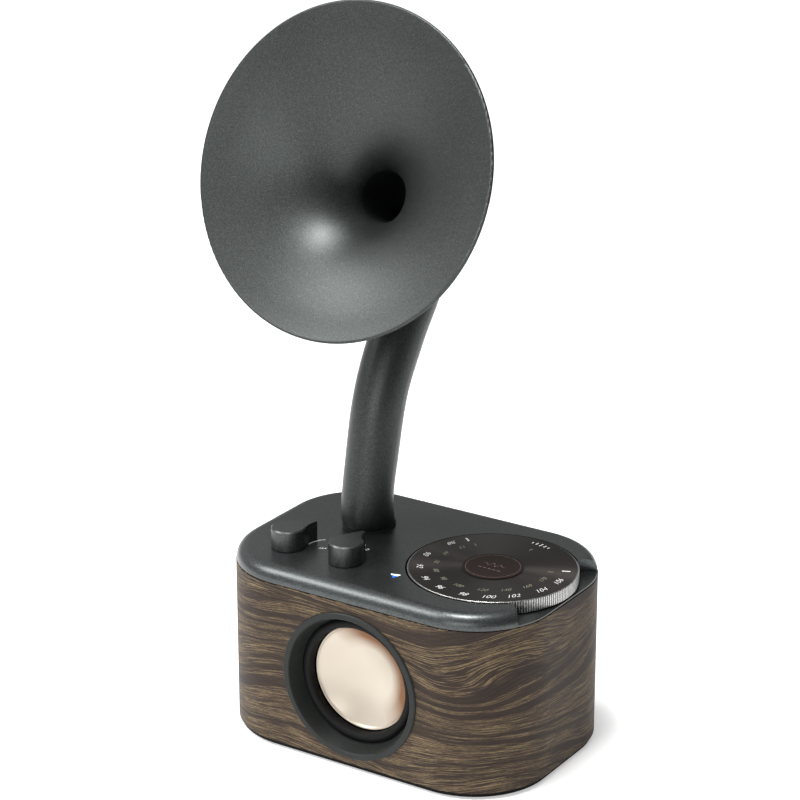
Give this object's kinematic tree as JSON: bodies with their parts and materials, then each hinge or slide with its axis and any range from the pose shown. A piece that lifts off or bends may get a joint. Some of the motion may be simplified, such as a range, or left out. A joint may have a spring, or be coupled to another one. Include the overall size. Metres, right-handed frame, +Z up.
{
  "type": "horn loudspeaker",
  "caption": "Table-top horn loudspeaker and radio: round-cornered wooden cabinet with a front driver, a bent flared horn on top, beaked knobs and a large tuning dial.",
  "frame": {"origin": "centre of the underside, on the plane the base pad rests on", "axes": "+X to the right seen from the front, +Y to the back, +Z up; the driver and the horn face -Y"},
  "size_m": [0.1963, 0.1318, 0.3449],
  "materials": {
    "rubber_pad": "matt black rubber",
    "base_black": "matt black moulding",
    "wood_wrap": "dark walnut, satin, grain running level",
    "steel_screw": "plated steel",
    "gasket": "black foam rubber",
    "gunmetal": "satin gunmetal with a fine metallic speckle",
    "lamp_lens": "milky lens",
    "lamp": "small lamp",
    "control_case": "plated control case",
    "zinc": "zinc-plated nut",
    "unit_case": "black moulding",
    "ferrite": "dark sintered magnet",
    "bezel_black": "matt black moulding",
    "surround_rubber": "soft black rubber",
    "basket_black": "black painted pressing",
    "spider_cloth": "resin-dipped cloth",
    "plated_steel": "plated steel",
    "board_green": "green solder mask",
    "board_parts": "moulded parts",
    "spacer": "brass spacer",
    "clip_white": "natural nylon",
    "socket_black": "black socket moulding",
    "dial_black": "satin black-brown disc with printed numbers",
    "dial_brown": "dark brown label",
    "ring_silver": "bright knurled metal",
    "hub": "black moulding",
    "knob_grey": "satin dark grey",
    "dish_champagne": "champagne anodised, satin",
    "coil_copper": "copper winding"
  },
  "bodies": {
    "cabinet": {"base_pad": "rubber_pad", "base_plate": "base_black", "cabinet_shell": "wood_wrap", "base_screws": "steel_screw", "seam_gasket": "gasket", "top_cover": "gunmetal", "led_window": "lamp_lens", "led_lamp": "lamp", "tuning_pot": "control_case", "volume_pot": "control_case", "function_switch": "control_case", "horn_neck": "gunmetal", "horn_bell": "gunmetal", "horn_gasket": "gasket", "horn_nut": "zinc", "horn_unit": "unit_case", "horn_unit_magnet": "ferrite", "driver_bezel": "bezel_black", "driver_surround": "surround_rubber", "driver_basket": "basket_black", "driver_spider": "spider_cloth", "driver_top_plate": "plated_steel", "driver_magnet": "ferrite", "driver_back_plate": "plated_steel", "driver_screws": "steel_screw", "main_board": "board_green", "board_spacers": "spacer", "board_parts": "board_parts", "ferrite_rod": "ferrite", "rod_clips": "clip_white", "jack_plate": "bezel_black", "plate_screws": "steel_screw", "dc_inlet": "socket_black", "aux_jack": "socket_black"},
    "dial": {"dial_ring": "ring_silver", "dial_face": "dial_black", "dial_label": "dial_brown", "dial_hub": "hub", "dial_spindle": "plated_steel"},
    "volume_control": {"volume_knob": "knob_grey", "volume_shaft": "plated_steel"},
    "function_control": {"function_knob": "knob_grey", "function_shaft": "plated_steel"},
    "cone": {"diaphragm": "dish_champagne", "voice_coil": "coil_copper"}
  },
  "joints": [
    {"name": "tuning_dial_turn", "type": "hinge", "parent": "cabinet", "child": "dial", "pos_m": [0.0421, 0.0004, 0.088], "axis": [0, 0, 1], "range_deg": [-165, 82]},
    {"name": "volume_turn", "type": "hinge", "parent": "cabinet", "child": "volume_control", "pos_m": [-0.0518, -0.0305, 0.095], "axis": [0, 0, 1], "range_deg": [-123, 177]},
    {"name": "function_turn", "type": "hinge", "parent": "cabinet", "child": "function_control", "pos_m": [-0.0192, -0.0305, 0.095], "axis": [0, 0, 1], "range_deg": [-60, 60]},
    {"name": "diaphragm_travel", "type": "slide", "parent": "cabinet", "child": "cone", "axis": [0, -1, 0], "range_m": [-0.0015, 0.0015], "stiffness_N_per_m": 900}
  ]
}
